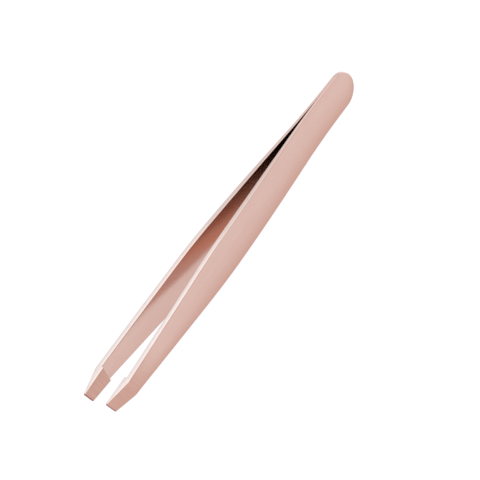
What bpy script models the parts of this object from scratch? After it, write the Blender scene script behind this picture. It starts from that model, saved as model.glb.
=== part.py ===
"""Slant tweezers for eyebrows: two ground steel arms, spot-welded together at a rounded head.

Frame: metres, +Z up. The tweezers rest on the lower side edges of their arms, at Z = 0, with
the origin under the middle of their length. +X runs from the slanted tips to the head. The
front arm is on the -Y side, the rear arm on the +Y side, and they close on the plane Y = 0.
Below, a place along an arm is its distance x from the tips.

An arm is one piece of spring steel that bends just ahead of the weld. Here it is two rigid
solids, a blade and a weld end, hinged where the bend is centred.
"""

import math

import bmesh
import bpy
from mathutils import Matrix, Vector

MM = 0.001

# Whole object
LENGTH = 95.0 * MM
TIP_X = -LENGTH / 2
FRONT = -1
REAR = 1

# Width of an arm, as seen square to its outer face
BODY_WIDTH = 10.1 * MM
TIP_WIDTH = 3.6 * MM
HEAD_WIDTH = 9.3 * MM
TAPER_END = 40.6 * MM
TAPER_BLEND = 12.0 * MM
HEAD_TAPER_START = 58.0 * MM
HEAD_ROUND = 4.1 * MM
TIP_SLANT = math.radians(14.6)

# Side view of an arm: its inner face, its thickness, its bend
WELD_START = 88.0 * MM
BEND_LENGTH = 12.5 * MM
SPREAD_SLOPE = 0.0458
BOW = 0.26 * MM
SEAM_GAP = 0.06 * MM
BODY_THICKNESS = 1.19 * MM
HEAD_THICKNESS = 0.6 * MM
THINNING_START = 47.5 * MM
THINNING_END = 86.0 * MM

# Ground tip: a raised grip pad inside, a long bevel outside
PAD_LENGTH = 7.05 * MM
PAD_STEP_RUN = 0.3 * MM
PAD_HALF_GAP_TIP = 2.92 * MM
PAD_HALF_GAP_BACK = 2.98 * MM
TIP_THICKNESS = 0.32 * MM
OUTER_BEVEL_LENGTH = 6.45 * MM

EDGE_RADIUS = 0.16 * MM
EDGE_SEGMENTS = 2

# Flexure hinge that stands in for the bending of the arm
HINGE_X = 76.0 * MM
HINGE_GAP = 0.1 * MM

# Spot welds
NUGGET_RADIUS = 1.3 * MM
NUGGET_THICKNESS = 0.36 * MM
NUGGET_CLEARANCE = 0.03 * MM
NUGGET_PLACES = {"weld_nugget_inner": 88.6 * MM, "weld_nugget_outer": 91.9 * MM}
NUGGET_SIDES = 32

STATION_STEP = 3.0 * MM
HEAD_STATIONS = 14
CUTTER_DEPTH = 16.0 * MM

MIDDLE_Z = BODY_WIDTH / 2


def half_width(x):
    """Half the arm's width: a straight taper from the tip, a parallel body, a rounded head."""
    slope = (BODY_WIDTH - TIP_WIDTH) / 2 / TAPER_END
    start = TAPER_END - TAPER_BLEND / 2
    end = TAPER_END + TAPER_BLEND / 2
    head_start = LENGTH - HEAD_ROUND
    if x >= head_start:
        along = min(1.0, (x - head_start) / HEAD_ROUND)
        return HEAD_WIDTH / 2 * math.sqrt(1.0 - along * along)
    if x >= HEAD_TAPER_START:
        along = (x - HEAD_TAPER_START) / (head_start - HEAD_TAPER_START)
        return BODY_WIDTH / 2 - (BODY_WIDTH - HEAD_WIDTH) / 2 * along * along
    if x >= end:
        return BODY_WIDTH / 2
    if x >= start:
        return BODY_WIDTH / 2 - slope * (end - x) ** 2 / (2 * TAPER_BLEND)
    return BODY_WIDTH / 2 - slope * (TAPER_END - x)


def inner_face(x):
    """Distance of the arm's inner face from the closing plane, without its grip pad."""
    bend_start = WELD_START - BEND_LENGTH
    if x >= WELD_START:
        return SEAM_GAP / 2
    if x >= bend_start:
        return SEAM_GAP / 2 + SPREAD_SLOPE * (WELD_START - x) ** 2 / (2 * BEND_LENGTH)
    along = x / bend_start
    straight = SPREAD_SLOPE * (WELD_START - BEND_LENGTH / 2 - x)
    return SEAM_GAP / 2 + straight + BOW * 4 * along * (1 - along)


def thickness(x):
    """Thickness of the arm, without its outer bevel: thinner where it has to bend."""
    along = (x - THINNING_START) / (THINNING_END - THINNING_START)
    along = min(1.0, max(0.0, along))
    eased = along * along * (3 - 2 * along)
    return BODY_THICKNESS + (HEAD_THICKNESS - BODY_THICKNESS) * eased


def stations(start, end):
    """Evenly spaced places along the length, from start to end."""
    count = max(1, round((end - start) / STATION_STEP))
    return [start + (end - start) * i / count for i in range(count + 1)]


def clear_scene():
    for obj in list(bpy.data.objects):
        bpy.data.objects.remove(obj, do_unlink=True)


def collection(name, hidden=False):
    made = bpy.data.collections.new(name)
    made.hide_render = hidden
    bpy.context.scene.collection.children.link(made)
    return made


def metal(name, colour, roughness):
    made = bpy.data.materials.new(name)
    made.use_nodes = True
    shader = made.node_tree.nodes["Principled BSDF"]
    shader.inputs["Base Color"].default_value = (*colour, 1.0)
    shader.inputs["Metallic"].default_value = 1.0
    shader.inputs["Roughness"].default_value = roughness
    return made


def extruded_outline(name, points, depth, turn, into):
    """A flat closed outline, filled and extruded to both sides of its plane, as a mesh."""
    data = bpy.data.curves.new(name, "CURVE")
    data.dimensions = "2D"
    data.fill_mode = "BOTH"
    data.extrude = depth / 2
    spline = data.splines.new("POLY")
    spline.points.add(len(points) - 1)
    for point, (across, up) in zip(spline.points, points):
        point.co = (across, up, 0.0, 1.0)
    spline.use_cyclic_u = True
    curve = bpy.data.objects.new(name + "_outline", data)
    into.objects.link(curve)
    bpy.context.view_layer.update()
    graph = bpy.context.evaluated_depsgraph_get()
    mesh = bpy.data.meshes.new_from_object(curve.evaluated_get(graph))
    mesh.name = name
    bpy.data.objects.remove(curve, do_unlink=True)
    work = bmesh.new()
    work.from_mesh(mesh)
    work.transform(turn)
    bmesh.ops.remove_doubles(work, verts=work.verts, dist=1e-6)
    bmesh.ops.dissolve_limit(
        work, angle_limit=math.radians(0.01), verts=work.verts, edges=work.edges
    )
    bmesh.ops.recalc_face_normals(work, faces=work.faces)
    work.to_mesh(mesh)
    work.free()
    made = bpy.data.objects.new(name, mesh)
    into.objects.link(made)
    return made


def as_cutter(obj):
    obj.hide_render = True
    obj.display_type = "WIRE"
    return obj


def add_boolean(obj, other, operation):
    cut = obj.modifiers.new(operation.lower() + "_" + other.name, "BOOLEAN")
    cut.operation = operation
    cut.object = other
    cut.solver = "EXACT"


def round_edges(obj):
    bevel = obj.modifiers.new("edge_rounding", "BEVEL")
    bevel.width = EDGE_RADIUS
    bevel.segments = EDGE_SEGMENTS
    bevel.limit_method = "ANGLE"
    bevel.angle_limit = math.radians(35)


def finish(obj, material):
    obj.data.materials.clear()
    obj.data.materials.append(material)
    obj.data.shade_smooth()
    obj.data.set_sharp_from_angle(angle=math.radians(30))


def move_origin(obj, place):
    """Puts the object's origin at place without moving its shape."""
    obj.data.transform(Matrix.Translation(-Vector(place)))
    obj.location = place


def face_outline():
    """Outline of an arm as seen square to its outer face, about the middle of its width."""
    head_start = LENGTH - HEAD_ROUND
    head = [
        head_start + HEAD_ROUND * math.sin(math.pi / 2 * i / HEAD_STATIONS)
        for i in range(1, HEAD_STATIONS)
    ]
    places = stations(0.0, head_start) + head
    upper = [(x, half_width(x)) for x in places]
    lower = [(x, -half_width(x)) for x in reversed(places)]
    slanted_corner = (TIP_WIDTH * math.tan(TIP_SLANT), lower[-1][1])
    return upper + [(LENGTH, 0.0)] + lower[:-1] + [slanted_corner]


def blade_side():
    """Side outline of the blade: grip pad, step, inner face, then back along the outer face."""
    end = HINGE_X - HINGE_GAP / 2
    step_top = PAD_LENGTH + PAD_STEP_RUN
    inner = [(0.0, PAD_HALF_GAP_TIP), (PAD_LENGTH, PAD_HALF_GAP_BACK)]
    inner += [(x, inner_face(x)) for x in stations(step_top, end)]
    outer = [(x, inner_face(x) + thickness(x)) for x in stations(OUTER_BEVEL_LENGTH, end)]
    outer.reverse()
    return inner + outer + [(0.0, PAD_HALF_GAP_TIP + TIP_THICKNESS)]


def weld_end_side():
    """Side outline of the weld end: inner face to the head, then back along the outer face."""
    start = HINGE_X + HINGE_GAP / 2
    places = stations(start, WELD_START) + [LENGTH + MM]
    inner = [(x, inner_face(x)) for x in places]
    outer = [(x, inner_face(x) + thickness(x)) for x in reversed(places)]
    return inner + outer


def arm_solid(name, side, side_outline, face_cutter, parts):
    """An arm's stretch: its side outline extruded across the width, cut to the face outline."""
    points = [(x, side * y) for x, y in side_outline]
    middle = Matrix.Translation((TIP_X, 0.0, MIDDLE_Z))
    solid = extruded_outline(name, points, CUTTER_DEPTH, middle, parts)
    add_boolean(solid, face_cutter, "INTERSECT")
    return solid


def hinge_place(side):
    """Middle of the arm's section where its bend is centred."""
    return (TIP_X + HINGE_X, side * (inner_face(HINGE_X) + thickness(HINGE_X) / 2), MIDDLE_Z)


def nugget(name, x, radius, half_thickness, into):
    """A weld nugget: a flat disc that sits half in each arm."""
    mesh = bpy.data.meshes.new(name)
    work = bmesh.new()
    bmesh.ops.create_cone(
        work,
        cap_ends=True,
        segments=NUGGET_SIDES,
        radius1=radius,
        radius2=radius,
        depth=2 * half_thickness,
        matrix=Matrix.Rotation(math.pi / 2, 4, "X"),
    )
    work.to_mesh(mesh)
    work.free()
    made = bpy.data.objects.new(name, mesh)
    made.location = (TIP_X + x, 0.0, MIDDLE_Z)
    into.objects.link(made)
    return made


def main():
    clear_scene()
    parts = collection("slant_tweezers")
    cutters = collection("cutters", hidden=True)

    upright = Matrix.Rotation(math.pi / 2, 4, "X")
    across = Matrix.Translation((TIP_X, 0.0, MIDDLE_Z)) @ upright
    face_cutter = as_cutter(
        extruded_outline("face_shape", face_outline(), CUTTER_DEPTH, across, cutters)
    )
    rose_metal = metal("rose_metal", (0.68, 0.47, 0.42), 0.38)
    weld_metal = metal("weld_metal", (0.45, 0.38, 0.35), 0.6)

    pockets = []
    for name, x in NUGGET_PLACES.items():
        disc = nugget(name, x, NUGGET_RADIUS, NUGGET_THICKNESS / 2, parts)
        finish(disc, weld_metal)
        pocket = nugget(
            name + "_pocket",
            x,
            NUGGET_RADIUS + NUGGET_CLEARANCE,
            NUGGET_THICKNESS / 2 + NUGGET_CLEARANCE,
            cutters,
        )
        pockets.append(as_cutter(pocket))

    for arm, side in (("front_arm", FRONT), ("rear_arm", REAR)):
        blade = arm_solid(arm + "_blade", side, blade_side(), face_cutter, parts)
        round_edges(blade)
        finish(blade, rose_metal)
        move_origin(blade, hinge_place(side))

        weld_end = arm_solid(arm + "_weld_end", side, weld_end_side(), face_cutter, parts)
        round_edges(weld_end)
        for pocket in pockets:
            add_boolean(weld_end, pocket, "DIFFERENCE")
        finish(weld_end, rose_metal)


main()
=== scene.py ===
"""Looks of the slant tweezers: two satin rose-coloured steel arms on a white studio floor.

Frame, metres: +X from the slanted tips to the head, +Y from the front arm to the rear arm,
+Z up. The tweezers stand on the lower side edges of their arms, at Z = 0. Below, a place in an
arm is given by its distance x from the tips, its height z above the arm's middle line, and its
distance y from the plane that the arms close on. Both arms have the same shape, mirrored.
"""

import math

import bmesh
import bpy
from mathutils import Matrix, Vector


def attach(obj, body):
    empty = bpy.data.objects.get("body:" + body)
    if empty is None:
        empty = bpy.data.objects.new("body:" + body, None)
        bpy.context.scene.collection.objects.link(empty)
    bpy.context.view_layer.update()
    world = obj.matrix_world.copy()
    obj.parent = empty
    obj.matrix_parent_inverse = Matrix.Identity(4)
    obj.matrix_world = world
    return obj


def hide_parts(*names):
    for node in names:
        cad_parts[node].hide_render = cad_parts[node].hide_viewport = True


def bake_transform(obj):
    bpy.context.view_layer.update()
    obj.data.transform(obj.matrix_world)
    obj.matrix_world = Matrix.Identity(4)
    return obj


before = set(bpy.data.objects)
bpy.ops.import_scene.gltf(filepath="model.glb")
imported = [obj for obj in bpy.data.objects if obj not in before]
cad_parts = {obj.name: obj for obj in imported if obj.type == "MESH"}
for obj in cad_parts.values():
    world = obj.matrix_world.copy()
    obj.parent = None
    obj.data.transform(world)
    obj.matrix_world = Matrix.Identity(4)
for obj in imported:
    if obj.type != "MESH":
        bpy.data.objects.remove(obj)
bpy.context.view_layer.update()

MM = 0.001

# Whole object
LENGTH = 95.0 * MM
TIP_X = -LENGTH / 2

# Width of an arm, as seen square to its outer face
BODY_WIDTH = 10.1 * MM
TIP_WIDTH = 3.6 * MM
HEAD_WIDTH = 9.3 * MM
TAPER_END = 40.6 * MM
TAPER_BLEND = 12.0 * MM
HEAD_TAPER_START = 58.0 * MM
HEAD_ROUND = 4.1 * MM
HEAD_ROUND_START = LENGTH - HEAD_ROUND
TIP_SLANT = math.radians(14.6)
SLANT_RUN = TIP_WIDTH * math.tan(TIP_SLANT)
SLANT_FADE = 5.6 * MM

# Side view of an arm: its inner face, its thickness, its bend
WELD_START = 88.0 * MM
BEND_LENGTH = 12.5 * MM
SPREAD_SLOPE = 0.0458
BOW = 0.26 * MM
SEAM_GAP = 0.016 * MM
BODY_THICKNESS = 1.19 * MM
HEAD_THICKNESS = 0.6 * MM
THINNING_START = 47.5 * MM
THINNING_END = 86.0 * MM

# Ground tip: a raised grip pad inside, a long bevel outside
PAD_LENGTH = 7.05 * MM
PAD_STEP_RUN = 0.3 * MM
PAD_HALF_GAP_TIP = 2.92 * MM
PAD_HALF_GAP_BACK = 2.98 * MM
TIP_THICKNESS = 0.32 * MM
OUTER_BEVEL_LENGTH = 6.45 * MM
BEVEL_ROUND = 0.2 * MM

# Rounding of the edges: crisp at the ground tip, softer along the tumbled body, and next to
# nothing along the seam
CORNER_RADIUS = 0.27 * MM
OUTER_EDGE = 0.22 * MM
INNER_EDGE = 0.10 * MM
WELD_EDGE = 0.01 * MM
GROUND_EDGE = 0.06 * MM
END_EDGE = 0.20 * MM
SOFTER_FROM = 2 * MM
SOFTER_OVER = 8 * MM
CLOSED_FROM = 78 * MM
CLOSED_OVER = 8 * MM

# How steeply the outline's edges take on the slanted end's rounding as they turn to face it
END_FACING = 1.5

# How fine the mesh is
MERGE_DISTANCE = 1e-7
SHARP_ANGLE = math.radians(40)
ROUND_SIDES = 48
EDGE_STEPS = 5
CORNER_STEPS = 6
HEAD_STEPS = 22
ACROSS = 10
SIDE_SPANS = (  # (start, end, spacing) of the places along a side edge
    (0.45 * MM, 6.1 * MM, 0.4 * MM),
    (6.1 * MM, PAD_LENGTH, 0.08 * MM),
    (PAD_LENGTH, PAD_LENGTH + PAD_STEP_RUN, 0.03 * MM),
    (PAD_LENGTH + PAD_STEP_RUN, 9 * MM, 0.3 * MM),
    (9 * MM, HEAD_ROUND_START, 0.75 * MM),
)

# Where the surface changes: grinding marks of the bevel, painted shade towards the lower side
# edge, painted shade and painted reflection in the gap, rubbing and painted highlight of the
# edges
BEVEL_MARKS_FROM = 4 * MM
BEVEL_MARKS_OVER = 14 * MM
LOW_SHADE_REACH = 1.5
LOW_SHADE_INSIDE = 0.3
GAP_FROM = 41 * MM
GAP_OVER = 24 * MM
GAP_LEAN = 2.2
GAP_CLOSED_FROM = 76 * MM
GAP_CLOSED_OVER = 8 * MM
GAP_SKIN = 0.12
INNER_WEAR_POWER = 1.5
OUTER_WEAR_POWER = 3

# Spot welds in the seam
NUGGET_RADIUS = 1.3 * MM
NUGGET_THICKNESS = 0.36 * MM
NUGGET_CLEARANCE = 0.03 * MM
NUGGET_RIM = 0.1 * MM
RIM_STEPS = 8
NUGGET_PLACES = {"weld_nugget_inner": 88.6 * MM, "weld_nugget_outer": 91.9 * MM}

MIDDLE_Z = BODY_WIDTH / 2


def smooth(value):
    """0 below 0, 1 above 1, and a smooth rise between."""
    value = min(1.0, max(0.0, value))
    return value * value * (3 - 2 * value)


def half_width(x):
    """Half the arm's width: a straight taper from the tip, a parallel body, a rounded head."""
    slope = (BODY_WIDTH - TIP_WIDTH) / 2 / TAPER_END
    start = TAPER_END - TAPER_BLEND / 2
    end = TAPER_END + TAPER_BLEND / 2
    if x >= HEAD_ROUND_START:
        along = min(1.0, (x - HEAD_ROUND_START) / HEAD_ROUND)
        return HEAD_WIDTH / 2 * math.sqrt(1.0 - along * along)
    if x >= HEAD_TAPER_START:
        along = (x - HEAD_TAPER_START) / (HEAD_ROUND_START - HEAD_TAPER_START)
        return BODY_WIDTH / 2 - (BODY_WIDTH - HEAD_WIDTH) / 2 * along * along
    if x >= end:
        return BODY_WIDTH / 2
    if x >= start:
        return BODY_WIDTH / 2 - slope * (end - x) ** 2 / (2 * TAPER_BLEND)
    return BODY_WIDTH / 2 - slope * (TAPER_END - x)


def sprung_face(x):
    """Distance of the arm's inner face from the closing plane, without its grip pad."""
    bend_start = WELD_START - BEND_LENGTH
    if x >= WELD_START:
        return SEAM_GAP / 2
    if x >= bend_start:
        return SEAM_GAP / 2 + SPREAD_SLOPE * (WELD_START - x) ** 2 / (2 * BEND_LENGTH)
    along = x / bend_start
    straight = SPREAD_SLOPE * (WELD_START - BEND_LENGTH / 2 - x)
    return SEAM_GAP / 2 + straight + BOW * 4 * along * (1 - along)


def inner_face(x):
    """The inner face with its raised grip pad, which ends in a small rounded step."""
    pad = PAD_HALF_GAP_TIP + (PAD_HALF_GAP_BACK - PAD_HALF_GAP_TIP) * x / PAD_LENGTH
    off_pad = smooth((x - PAD_LENGTH) / PAD_STEP_RUN)
    return pad + (sprung_face(x) - pad) * off_pad


def outer_face(x):
    """The outer face with its long bevel, which meets it in a slightly rounded edge."""
    thinned = smooth((x - THINNING_START) / (THINNING_END - THINNING_START))
    thickness = BODY_THICKNESS + (HEAD_THICKNESS - BODY_THICKNESS) * thinned
    face = sprung_face(x) + thickness
    bevel_top = sprung_face(OUTER_BEVEL_LENGTH) + BODY_THICKNESS
    tip = PAD_HALF_GAP_TIP + TIP_THICKNESS
    bevel = tip + (bevel_top - tip) * x / OUTER_BEVEL_LENGTH
    if abs(x - OUTER_BEVEL_LENGTH) >= BEVEL_ROUND:
        return min(bevel, face)
    steepness = (bevel_top - tip) / OUTER_BEVEL_LENGTH + SPREAD_SLOPE
    into = x - OUTER_BEVEL_LENGTH + BEVEL_ROUND
    return bevel - steepness * into * into / (4 * BEVEL_ROUND)


def edge_radius(x, body_radius):
    """Radius of the edge rounding, which grows from the ground tip to the body."""
    softer = smooth((x - SOFTER_FROM) / SOFTER_OVER)
    return GROUND_EDGE + (body_radius - GROUND_EDGE) * softer


def seam_radius(x):
    """Radius of the inner edges, which is next to nothing where the arms are welded."""
    closed = smooth((x - CLOSED_FROM) / CLOSED_OVER)
    return edge_radius(x, INNER_EDGE) * (1.0 - closed) + WELD_EDGE * closed


def painted_low_shade(x, z, through):
    """How much a place shows the painted shade towards the lower side edge.

    It is weaker inside: through runs from 0 at the inner face to 1 at the outer face.
    """
    fade = LOW_SHADE_REACH * half_width(min(x, HEAD_ROUND_START))
    strength = LOW_SHADE_INSIDE + (1.0 - LOW_SHADE_INSIDE) * through
    return max(0.0, 1.0 - (half_width(x) + z) / fade) ** 2 * strength


def painted_gap_shade(x, z, through):
    """How deep in the gap a place of the inner face lies: 0 at its mouth, 1 before the seam.

    The painted shade and painted reflection lean: they start earlier along the upper side.
    """
    deep = min(1.0, max(0.0, (x + GAP_LEAN * z - GAP_FROM) / GAP_OVER))
    closed = smooth((x - GAP_CLOSED_FROM) / GAP_CLOSED_OVER)
    return deep * (1.0 - closed) * smooth(1.0 - through / GAP_SKIN)


def pad_ground(x):
    """How much the inner face shows the grinding of its grip pad."""
    return 1.0 - smooth((x - PAD_LENGTH) / PAD_STEP_RUN)


def bevel_ground(x):
    """How much the outer face shows the grinding of its bevel, which fades out behind it."""
    return 1.0 - smooth((x - BEVEL_MARKS_FROM) / BEVEL_MARKS_OVER)


def spread(start, end, spacing):
    """Evenly spaced places from start up to, and without, end."""
    count = max(1, round((end - start) / spacing))
    return [start + (end - start) * i / count for i in range(count)]


def side_places():
    """Places along the side edges, closer together where the faces or the outline turn."""
    places = []
    for start, end, spacing in SIDE_SPANS:
        places += spread(start, end, spacing)
    for i in range(HEAD_STEPS):
        turn = math.pi / 2 * i / HEAD_STEPS
        places.append(HEAD_ROUND_START + HEAD_ROUND * math.sin(turn))
    return places


def slanted(x):
    """How far the lower side edge's place is pushed back by the slant of the tip."""
    return SLANT_RUN * max(0.0, 1.0 - x / SLANT_FADE)


def outward(x):
    """Outward normal of the upper side edge in the plane of the arm."""
    if x > HEAD_ROUND_START:
        run = (x - HEAD_ROUND_START) / HEAD_ROUND
        rise = math.sqrt(1.0 - run * run)
        return Vector((run / HEAD_ROUND, 2 * rise / HEAD_WIDTH)).normalized()
    nudge = 0.05 * MM
    slope = (half_width(x + nudge) - half_width(x - nudge)) / (2 * nudge)
    return Vector((-slope, 1.0)).normalized()


def corner_centre(corner, one_way, other_way):
    """Centre of the rounding of a corner of the outline, between two directions from it."""
    half_angle = one_way.angle(other_way) / 2
    middle = (one_way + other_way).normalized()
    return corner + middle * CORNER_RADIUS / math.sin(half_angle)


def between(first, last, count):
    """Unit vectors that turn evenly from first to last, both ends included."""
    turn = first.angle_signed(last)
    made = []
    for i in range(count + 1):
        angle = -turn * i / count
        cos, sin = math.cos(angle), math.sin(angle)
        made.append(Vector((first.x * cos - first.y * sin, first.x * sin + first.y * cos)))
    return made


def plan_outline():
    """The arm's outline in the plane of the arm, as (point inside the edge, outward normal).

    It runs from the head along the upper edge to the tips and back along the lower edge. With
    it come the places in it of the upper edge, the slanted end and the lower edge.
    """
    places = side_places()
    upper = [(Vector((x, half_width(x))), outward(x)) for x in places]
    lower = []
    for x in places:
        back = x + slanted(x)
        normal = outward(back)
        lower.append((Vector((back, -half_width(back))), Vector((normal.x, -normal.y))))

    top_corner = Vector((0.0, half_width(0.0)))
    low_corner = Vector((SLANT_RUN, -half_width(SLANT_RUN)))
    down = (low_corner - top_corner).normalized()
    along_top = (upper[0][0] - top_corner).normalized()
    along_low = (lower[0][0] - low_corner).normalized()
    top_centre = corner_centre(top_corner, along_top, down)
    low_centre = corner_centre(low_corner, along_low, -down)
    end_normal = Vector((down.y, -down.x))

    outline = [(point - normal * CORNER_RADIUS, normal) for point, normal in reversed(upper)]
    marks = {"upper": list(range(len(outline)))[::-1]}
    for normal in between(outward(0.0), end_normal, CORNER_STEPS):
        outline.append((top_centre, normal))
    marks["end"] = [len(outline) - 1]
    for i in range(1, ACROSS):
        marks["end"].append(len(outline))
        outline.append((top_centre.lerp(low_centre, i / ACROSS), end_normal))
    marks["end"].append(len(outline))
    lower_normal = Vector((outward(0.0).x, -outward(0.0).y))
    for normal in between(end_normal, lower_normal, CORNER_STEPS):
        outline.append((low_centre, normal))
    marks["lower"] = [len(outline) + i for i in range(len(lower))]
    outline += [(point - normal * CORNER_RADIUS, normal) for point, normal in lower]
    marks["head"] = len(outline)
    outline.append((Vector((LENGTH - CORNER_RADIUS, 0.0)), Vector((1.0, 0.0))))
    return outline, marks


def edge_section(inner_radius, outer_radius):
    """Section of the edge from the inner to the outer face.

    Each item is (how far in from the outline, which face it is measured from, distance from
    that face towards the middle of the thickness, how worn the edge is, which also sets its
    painted highlight).
    """
    section = [(CORNER_RADIUS, "inner", 0.0, 0.0)]
    for i in range(EDGE_STEPS + 1):
        turn = math.pi / 2 * i / EDGE_STEPS
        inset = inner_radius * (1 - math.sin(turn))
        worn = (i / EDGE_STEPS) ** INNER_WEAR_POWER
        section.append((inset, "inner", inner_radius * (1 - math.cos(turn)), worn))
    section.append((0.0, "middle", 0.0, 1.0))
    for i in range(EDGE_STEPS, -1, -1):
        turn = math.pi / 2 * i / EDGE_STEPS
        inset = outer_radius * (1 - math.sin(turn))
        worn = (i / EDGE_STEPS) ** OUTER_WEAR_POWER
        section.append((inset, "outer", outer_radius * (1 - math.cos(turn)), worn))
    section.append((CORNER_RADIUS, "outer", 0.0, 0.0))
    return section


def arm_mesh(name, side):
    """One arm, from its slanted tip to the head, with every edge rounded.

    Its vertices carry what the material needs: the edges' rubbing and painted highlight, how
    ground the metal is, where painted shade lies, and the place that the grain is drawn from.
    """
    work = bmesh.new()
    # Masks for the material: rubbed edges with a painted highlight, ground metal, painted shade
    rub_and_highlight = work.verts.layers.float.new("edge_rub_and_highlight")
    ground = work.verts.layers.float.new("tip_ground")
    end = work.verts.layers.float.new("tip_end")
    low_shade_layer = work.verts.layers.float.new("painted_low_shade")
    gap_shade_layer = work.verts.layers.float.new("painted_gap_shade")
    grain = work.verts.layers.float_vector.new("grain_place")

    def vertex(x, z, y, is_ground, rub_and_highlighted=0.0, is_end=0.0):
        inner, outer = inner_face(x), outer_face(x)
        through = (y - inner) / (outer - inner)
        made = work.verts.new((TIP_X + x, side * y, MIDDLE_Z + z))
        made[rub_and_highlight] = rub_and_highlighted
        made[ground] = is_ground
        made[end] = is_end
        # Masks of the painted shade towards the lower side edge and in the gap
        made[low_shade_layer] = painted_low_shade(x, z, through)
        made[gap_shade_layer] = painted_gap_shade(x, z, through)
        made[grain] = (x, z + through * BODY_THICKNESS, side * through * BODY_THICKNESS)
        return made

    outline, marks = plan_outline()
    rings = []
    for inside, normal in outline:
        edge_x = inside.x + normal.x * CORNER_RADIUS
        facing_tip = smooth(-END_FACING * normal.x)
        inner_radius = seam_radius(edge_x)
        inner_radius += (END_EDGE - GROUND_EDGE) * facing_tip
        outer_radius = edge_radius(edge_x, OUTER_EDGE)
        ring = []
        for inset, face, depth, worn in edge_section(inner_radius, outer_radius):
            place = inside + normal * (CORNER_RADIUS - inset)
            inner, outer = inner_face(place.x), outer_face(place.x)
            if face == "inner":
                y = inner + depth
                is_ground = pad_ground(place.x)
            elif face == "outer":
                y = outer - depth
                is_ground = bevel_ground(place.x)
            else:
                y = (inner + inner_radius + outer - outer_radius) / 2
                is_ground = 0.0
            is_end = facing_tip * (1.0 if inset < CORNER_RADIUS else 0.0)
            is_ground = max(is_end, is_ground * (1.0 - worn))
            # How rubbed the edge is; it also sets the painted highlight
            rub_and_highlighted = worn * (1.0 - is_end)
            ring.append(vertex(place.x, place.y, y, is_ground, rub_and_highlighted, is_end))
        rings.append(ring)

    for this, following in zip(rings, rings[1:] + rings[:1]):
        for a, b, c, d in zip(this, this[1:], following[1:], following):
            work.faces.new((a, b, c, d))

    for face, at in (("inner", 0), ("outer", -1)):
        lines = [[rings[i][at] for i in marks["end"]]]
        for up, low in zip(marks["upper"], marks["lower"]):
            top, bottom = rings[up][at], rings[low][at]
            top_at, low_at = outline[up][0], outline[low][0]
            line = [top]
            for i in range(1, ACROSS):
                place = top_at.lerp(low_at, i / ACROSS)
                if face == "inner":
                    y, is_ground = inner_face(place.x), pad_ground(place.x)
                else:
                    y, is_ground = outer_face(place.x), bevel_ground(place.x)
                line.append(vertex(place.x, place.y, y, is_ground))
            lines.append(line + [bottom])
        for this, following in zip(lines, lines[1:]):
            for a, b, c, d in zip(this, this[1:], following[1:], following):
                work.faces.new((a, b, c, d))
        head = rings[marks["head"]][at]
        for a, b in zip(lines[-1], lines[-1][1:]):
            work.faces.new((a, b, head))

    bmesh.ops.remove_doubles(work, verts=work.verts, dist=MERGE_DISTANCE)
    bmesh.ops.recalc_face_normals(work, faces=work.faces)
    mesh = bpy.data.meshes.new(name)
    work.to_mesh(mesh)
    work.free()
    mesh.shade_smooth()
    made = bpy.data.objects.new(name, mesh)
    bpy.context.scene.collection.objects.link(made)
    return made


def lathe(name, profile, x, sides=ROUND_SIDES):
    """A round piece about a line along Y through the seam at x, from (radius, y) pairs."""
    work = bmesh.new()
    rings = []
    for radius, y in profile:
        ring = []
        for i in range(sides):
            turn = 2 * math.pi * i / sides
            across = (radius * math.cos(turn), y, radius * math.sin(turn))
            ring.append(work.verts.new(across))
        rings.append(ring)
    for this, following in zip(rings, rings[1:]):
        for i in range(sides):
            j = (i + 1) % sides
            work.faces.new((this[i], this[j], following[j], following[i]))
    work.faces.new(rings[0])
    work.faces.new(rings[-1])
    bmesh.ops.recalc_face_normals(work, faces=work.faces)
    mesh = bpy.data.meshes.new(name)
    work.to_mesh(mesh)
    work.free()
    mesh.shade_smooth()
    mesh.set_sharp_from_angle(angle=SHARP_ANGLE)
    made = bpy.data.objects.new(name, mesh)
    made.location = (TIP_X + x, 0.0, MIDDLE_Z)
    bpy.context.scene.collection.objects.link(made)
    return made


def cut(obj, cutters):
    """Cuts closed shapes out of the object for good, and removes the shapes."""
    bpy.context.view_layer.update()
    for cutter in cutters:
        boolean = obj.modifiers.new("cut", "BOOLEAN")
        boolean.operation = "DIFFERENCE"
        boolean.solver = "EXACT"
        boolean.object = cutter
    graph = bpy.context.evaluated_depsgraph_get()
    mesh = bpy.data.meshes.new_from_object(obj.evaluated_get(graph))
    obj.modifiers.clear()
    obj.data = mesh
    for cutter in cutters:
        bpy.data.objects.remove(cutter, do_unlink=True)


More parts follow.
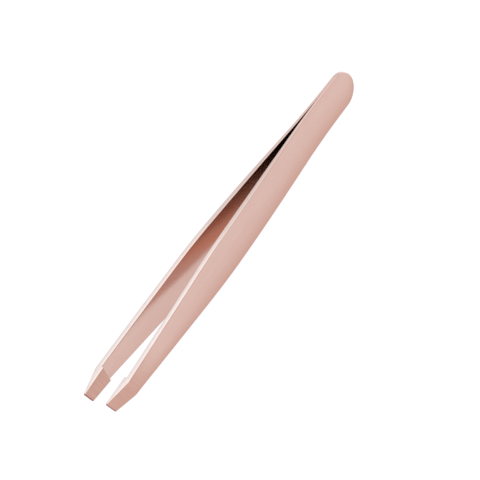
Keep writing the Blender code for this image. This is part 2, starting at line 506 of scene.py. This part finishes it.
class Nodes:
    """A small helper that adds nodes to a material and links them."""

    def __init__(self, name):
        self.material = bpy.data.materials.new(name)
        self.material.use_nodes = True
        self.tree = self.material.node_tree
        self.shader = self.tree.nodes["Principled BSDF"]

    def add(self, kind, inputs=None, **settings):
        node = self.tree.nodes.new(kind)
        for key, value in settings.items():
            setattr(node, key, value)
        for key, value in (inputs or {}).items():
            self.put(value, node.inputs[key])
        return node

    def put(self, value, socket):
        if isinstance(value, bpy.types.NodeSocket):
            self.tree.links.new(value, socket)
        else:
            socket.default_value = value

    def math(self, operation, first, second=0.0, third=0.0):
        values = {0: first, 1: second, 2: third}
        return self.add("ShaderNodeMath", values, operation=operation).outputs[0]

    def weighted(self, total, *terms):
        """The start value plus each value times its weight."""
        for value, weight in terms:
            total = self.math("MULTIPLY_ADD", value, weight, total)
        return total

    def attribute(self, name, output="Fac"):
        return self.add("ShaderNodeAttribute", attribute_name=name).outputs[output]

    def mix(self, factor, first, second):
        node = self.add("ShaderNodeMix", data_type="RGBA")
        self.put(factor, node.inputs[0])
        self.put(first, node.inputs[6])
        self.put(second, node.inputs[7])
        return node.outputs[2]

    def step(self, value, start, end):
        """A smooth rise from 0 at start to 1 at end."""
        inputs = {"Value": value, 1: start, 2: end}
        settings = {"interpolation_type": "SMOOTHSTEP"}
        return self.add("ShaderNodeMapRange", inputs, **settings).outputs[0]

    def ramp(self, value, start, end, first, last):
        """A straight change from first at start to last at end."""
        inputs = {"Value": value, 1: start, 2: end, 3: first, 4: last}
        return self.add("ShaderNodeMapRange", inputs).outputs[0]

    def noise(self, place, detail=2.0, roughness=0.5):
        inputs = {"Vector": place, "Scale": 1.0, "Detail": detail, "Roughness": roughness}
        return self.add("ShaderNodeTexNoise", inputs).outputs[0]

    def scaled(self, place, scale):
        inputs = {"Vector": place, "Scale": scale}
        return self.add("ShaderNodeMapping", inputs).outputs[0]

    def grain(self, place, along, across, turn, detail, roughness):
        """Noise with that many cycles a metre along and across the arm."""
        inputs = {"Vector": place, "Rotation": (0.0, 0.0, turn)}
        turned = self.add("ShaderNodeMapping", inputs).outputs[0]
        return self.noise(self.scaled(turned, (along, across, 1.0)), detail, roughness)

    def bump(self, height, strength, distance):
        inputs = {"Height": height, "Strength": strength, "Distance": distance}
        self.put(self.add("ShaderNodeBump", inputs).outputs[0], self.shader.inputs["Normal"])


# Rose plating, from the brushed faces to the worn edges, with painted shade and highlights
ROSE = (0.72, 0.50, 0.43, 1.0)
ROSE_DEEP = (0.66, 0.43, 0.36, 1.0)  # between the brush marks
ROSE_SHADE_LOW = (0.60, 0.335, 0.26, 1.0)  # painted shade towards the lower side edge
ROSE_GAP_REFLECTION = (0.70, 0.355, 0.255, 1.0)  # painted reflection between the arms, in the middle of the gap
ROSE_GAP_SHADE = (0.525, 0.385, 0.33, 1.0)  # painted shade deep in the gap
ROSE_GROUND = (0.67, 0.41, 0.33, 1.0)  # grip pads and bevels
ROSE_GROUND_DEEP = (0.52, 0.29, 0.22, 1.0)  # their grinding marks
ROSE_END = (0.32, 0.115, 0.07, 1.0)  # slanted ends
ROSE_HEAD_EDGE_HIGHLIGHT = (0.80, 0.545, 0.465, 1.0)  # painted highlight on the edges near the head
ROSE_RUBBED_AND_HIGHLIT = (0.745, 0.68, 0.645, 1.0)  # rubbed edges near the tips, paled further by a painted highlight

# Where the painted reflection and painted shade in the gap change, from 0 at its mouth to 1
# before the seam
GAP_REFLECTION_START, GAP_REFLECTION_END = 0.0, 0.35
GAP_SHADE_START, GAP_SHADE_END = 0.22, 0.70

# Where the edges change from the tips' rubbing and painted highlight to the head's
HEAD_EDGE_START, HEAD_EDGE_END = 60 * MM, 82 * MM
RUB_SHEEN_START, RUB_SHEEN_END = 25 * MM, 85 * MM
TIP_RUB_SHEEN, HEAD_RUB_SHEEN = 1.0, 0.12

# Grain: cycles a metre along the arm and across it, turn, detail, roughness
BRUSHED = (90.0, 12000.0, 0.0, 2.0, 0.6)
STREAKS = (35.0, 2400.0, 0.0, 2.0, 0.5)
PATCHES = (160.0, 260.0, 0.0, 3.0, 0.5)
SCRATCHED = (9000.0, 250.0, -TIP_SLANT, 2.0, 0.7)
BANDS = (1500.0, 160.0, -TIP_SLANT, 1.0, 0.5)
WORN = (700.0, 2600.0, 0.0, 4.0, 0.5)


def rose_metal():
    """Satin rose plating: brushed faces, ground tips, rubbed edges, painted highlight and shade.
    """
    nodes = Nodes("rose_metal")
    place = nodes.attribute("grain_place", "Vector")
    rub_and_highlight = nodes.attribute("edge_rub_and_highlight")
    ground = nodes.attribute("tip_ground")
    gap = nodes.attribute("painted_gap_shade")
    along = nodes.add("ShaderNodeSeparateXYZ", {"Vector": place}).outputs[0]
    brushed = nodes.grain(place, *BRUSHED)
    streaks = nodes.grain(place, *STREAKS)
    patches = nodes.grain(place, *PATCHES)
    scratched = nodes.grain(place, *SCRATCHED)

    tone = nodes.weighted(-0.65, (patches, 0.5), (streaks, 0.7), (brushed, 1.2))
    face = nodes.mix(tone, ROSE, ROSE_DEEP)
    ground_tone = nodes.weighted(-0.3, (nodes.grain(place, *BANDS), 0.7), (scratched, 0.9))
    face = nodes.mix(ground, face, nodes.mix(ground_tone, ROSE_GROUND, ROSE_GROUND_DEEP))
    # Painted shade towards the lower side edge
    face = nodes.mix(nodes.attribute("painted_low_shade"), face, ROSE_SHADE_LOW)
    # Painted reflection, then painted shade, deep in the gap between the arms
    face = nodes.mix(nodes.step(gap, GAP_REFLECTION_START, GAP_REFLECTION_END), face, ROSE_GAP_REFLECTION)
    face = nodes.mix(nodes.step(gap, GAP_SHADE_START, GAP_SHADE_END), face, ROSE_GAP_SHADE)
    face = nodes.mix(nodes.attribute("tip_end"), face, ROSE_END)

    # Painted highlight on the edges near the head
    head_edge = nodes.step(along, HEAD_EDGE_START, HEAD_EDGE_END)
    face = nodes.mix(nodes.math("MULTIPLY", head_edge, rub_and_highlight), face, ROSE_HEAD_EDGE_HIGHLIGHT)
    # Rubbed edges near the tips, paled further by a painted highlight
    worn = nodes.weighted(0.45, (nodes.grain(place, *WORN), 0.7))
    rub_and_sheen = nodes.math("MULTIPLY", nodes.math("MINIMUM", worn, 1.0), rub_and_highlight)
    fade = nodes.ramp(along, RUB_SHEEN_START, RUB_SHEEN_END, TIP_RUB_SHEEN, HEAD_RUB_SHEEN)
    rub_and_sheen = nodes.math("MULTIPLY", rub_and_sheen, fade)
    nodes.put(nodes.mix(rub_and_sheen, face, ROSE_RUBBED_AND_HIGHLIT), nodes.shader.inputs["Base Color"])

    lines = nodes.add("ShaderNodeMix", {0: ground, 2: brushed, 3: scratched}).outputs[0]
    rough = nodes.weighted(0.10, (lines, 0.10), (patches, 0.04), (ground, 0.12), (rub_and_sheen, 0.04))
    nodes.put(rough, nodes.shader.inputs["Roughness"])
    height = nodes.weighted(lines, (nodes.math("MULTIPLY", ground, lines), 1.5))
    nodes.bump(height, strength=0.6, distance=0.007 * MM)
    nodes.shader.inputs["Metallic"].default_value = 1.0
    return nodes.material


WELD_GREY = (0.45, 0.38, 0.35, 1.0)
WELD_STRAW = (0.50, 0.33, 0.16, 1.0)
WELD_RIPPLES = 900.0  # a metre


def weld_metal():
    """Resolidified steel: matt, finely rippled, with a straw to brown heat tint."""
    nodes = Nodes("weld_metal")
    place = nodes.add("ShaderNodeTexCoord").outputs["Object"]
    ripple = nodes.noise(nodes.scaled(place, (WELD_RIPPLES,) * 3), 4.0, 0.6)
    tint = nodes.mix(ripple, WELD_GREY, WELD_STRAW)
    nodes.put(tint, nodes.shader.inputs["Base Color"])
    nodes.put(nodes.weighted(0.45, (ripple, 0.25)), nodes.shader.inputs["Roughness"])
    nodes.bump(ripple, strength=0.4, distance=0.02 * MM)
    nodes.shader.inputs["Metallic"].default_value = 1.0
    return nodes.material


def build_arms(material):
    """Both arms, each bent smoothly between the welded head and its blade."""
    for name, side, body in (("front_arm", -1, "front_blade"), ("rear_arm", 1, "rear_blade")):
        arm = arm_mesh(name, side)
        pockets = []
        for x in NUGGET_PLACES.values():
            radius = NUGGET_RADIUS + NUGGET_CLEARANCE
            depth = NUGGET_THICKNESS / 2 + NUGGET_CLEARANCE
            pockets.append(lathe("pocket", [(radius, -depth), (radius, depth)], x))
        cut(arm, pockets)
        arm.data.materials.clear()
        arm.data.materials.append(material)
        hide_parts(name + "_blade", name + "_weld_end")
        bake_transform(arm)


def build_nuggets(material):
    """The weld nuggets: lens-edged discs, half in each arm."""
    half = NUGGET_THICKNESS / 2
    profile = []
    for i in range(RIM_STEPS + 1):
        turn = math.pi * i / RIM_STEPS
        radius = NUGGET_RADIUS - NUGGET_RIM + NUGGET_RIM * math.sin(turn)
        profile.append((radius, -half * math.cos(turn)))
    for name, x in NUGGET_PLACES.items():
        disc = lathe(name + "_disc", profile, x)
        disc.data.materials.append(material)
        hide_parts(name)
        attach(disc, "head")


# Studio: a floor lit from within, an even sky that is dimmer on one side, two softboxes
FLOOR_SIZE = 3.0
FLOOR_GLOW = 0.90
FLOOR_MOTTLE = 60.0  # a metre
FLOOR_PALE = (0.16, 0.16, 0.16, 1.0)
FLOOR_DEEP = (0.14, 0.14, 0.14, 1.0)
COOL_WHITE = (0.985, 1.0, 1.045, 1.0)
DIM_SIDE = (0.35, -0.90, 0.25)
DIM_START, DIM_END = 0.3, 1.0
SKY_STRENGTH, DIM_STRENGTH = 0.92, 0.8
CAMERA_AZIMUTH = math.radians(-32.30)
CAMERA_ELEVATION = math.radians(47.38)
CAMERA_ROLL = math.radians(-27.45)
CAMERA_DISTANCE = 0.6
CAMERA_SIDESTEP = Vector((2.626 * MM, -0.749 * MM, 0.0))
CAMERA_LENS = 209.7


def build_floor():
    """A plain white floor, much larger than the tweezers."""
    mesh = bpy.data.meshes.new("studio_floor")
    half = FLOOR_SIZE / 2
    corners = [(-half, -half, 0.0), (half, -half, 0.0), (half, half, 0.0), (-half, half, 0.0)]
    mesh.from_pydata(corners, [], [(0, 1, 2, 3)])
    floor = bpy.data.objects.new("studio_floor", mesh)
    bpy.context.scene.collection.objects.link(floor)
    nodes = Nodes("studio_floor")
    place = nodes.add("ShaderNodeTexCoord").outputs["Object"]
    mottle = nodes.noise(nodes.scaled(place, (FLOOR_MOTTLE,) * 3))
    acrylic = nodes.mix(mottle, FLOOR_PALE, FLOOR_DEEP)
    nodes.put(acrylic, nodes.shader.inputs["Base Color"])
    nodes.shader.inputs["Emission Color"].default_value = COOL_WHITE
    nodes.shader.inputs["Emission Strength"].default_value = FLOOR_GLOW
    nodes.shader.inputs["Roughness"].default_value = 0.9
    nodes.shader.inputs["Specular IOR Level"].default_value = 0.1
    mesh.materials.append(nodes.material)


def softbox(name, azimuth, elevation, distance, size, power):
    """A square area light that looks at the tweezers. Azimuth 0 is over the front arm."""
    data = bpy.data.lights.new(name, "AREA")
    data.shape = "SQUARE"
    data.size = size
    data.energy = power
    light = bpy.data.objects.new(name, data)
    turn = Matrix.Rotation(math.radians(azimuth), 4, "Z")
    tilt = Matrix.Rotation(math.radians(90 - elevation), 4, "X")
    out = Matrix.Translation((0.0, 0.0, distance))
    light.matrix_world = turn @ tilt @ out
    bpy.context.scene.collection.objects.link(light)


def build_light():
    """The sky, which is dimmer on the side of the front arm, and two softboxes."""
    world = bpy.data.worlds.new("studio")
    world.use_nodes = True
    tree = world.node_tree
    sky = tree.nodes["Background"]
    sky.inputs["Color"].default_value = COOL_WHITE
    direction = tree.nodes.new("ShaderNodeTexCoord")
    toward = tree.nodes.new("ShaderNodeVectorMath")
    toward.operation = "DOT_PRODUCT"
    toward.inputs[1].default_value = DIM_SIDE
    dim = tree.nodes.new("ShaderNodeMapRange")
    dim.interpolation_type = "SMOOTHSTEP"
    for place, value in enumerate((DIM_START, DIM_END, SKY_STRENGTH, DIM_STRENGTH), 1):
        dim.inputs[place].default_value = value
    tree.links.new(direction.outputs["Generated"], toward.inputs[0])
    tree.links.new(toward.outputs["Value"], dim.inputs[0])
    tree.links.new(dim.outputs[0], sky.inputs["Strength"])
    bpy.context.scene.world = world
    softbox("overhead", azimuth=0.0, elevation=90.0, distance=1.0, size=1.2, power=1.6)
    softbox("behind", azimuth=165.0, elevation=54.0, distance=1.0, size=0.4, power=0.15)
    bpy.context.scene.view_settings.view_transform = "Standard"


def build_camera():
    """A long lens that looks at the tweezers from above the front arm."""
    data = bpy.data.cameras.new("camera")
    data.lens = CAMERA_LENS
    data.sensor_width = 36.0
    data.clip_start = 0.01
    data.clip_end = 10.0
    camera = bpy.data.objects.new("camera", data)
    turn = Matrix.Rotation(CAMERA_AZIMUTH, 4, "Z")
    tilt = Matrix.Rotation(math.pi / 2 - CAMERA_ELEVATION, 4, "X")
    roll = Matrix.Rotation(CAMERA_ROLL, 4, "Z")
    middle = Matrix.Translation((0.0, 0.0, MIDDLE_Z))
    back = Matrix.Translation(CAMERA_SIDESTEP + Vector((0.0, 0.0, CAMERA_DISTANCE)))
    camera.matrix_world = middle @ turn @ tilt @ roll @ back
    bpy.context.scene.collection.objects.link(camera)
    bpy.context.scene.camera = camera


def main():
    """Builds everything."""
    build_arms(rose_metal())
    build_nuggets(weld_metal())
    build_floor()
    build_light()
    build_camera()
    bpy.context.view_layer.update()


main()
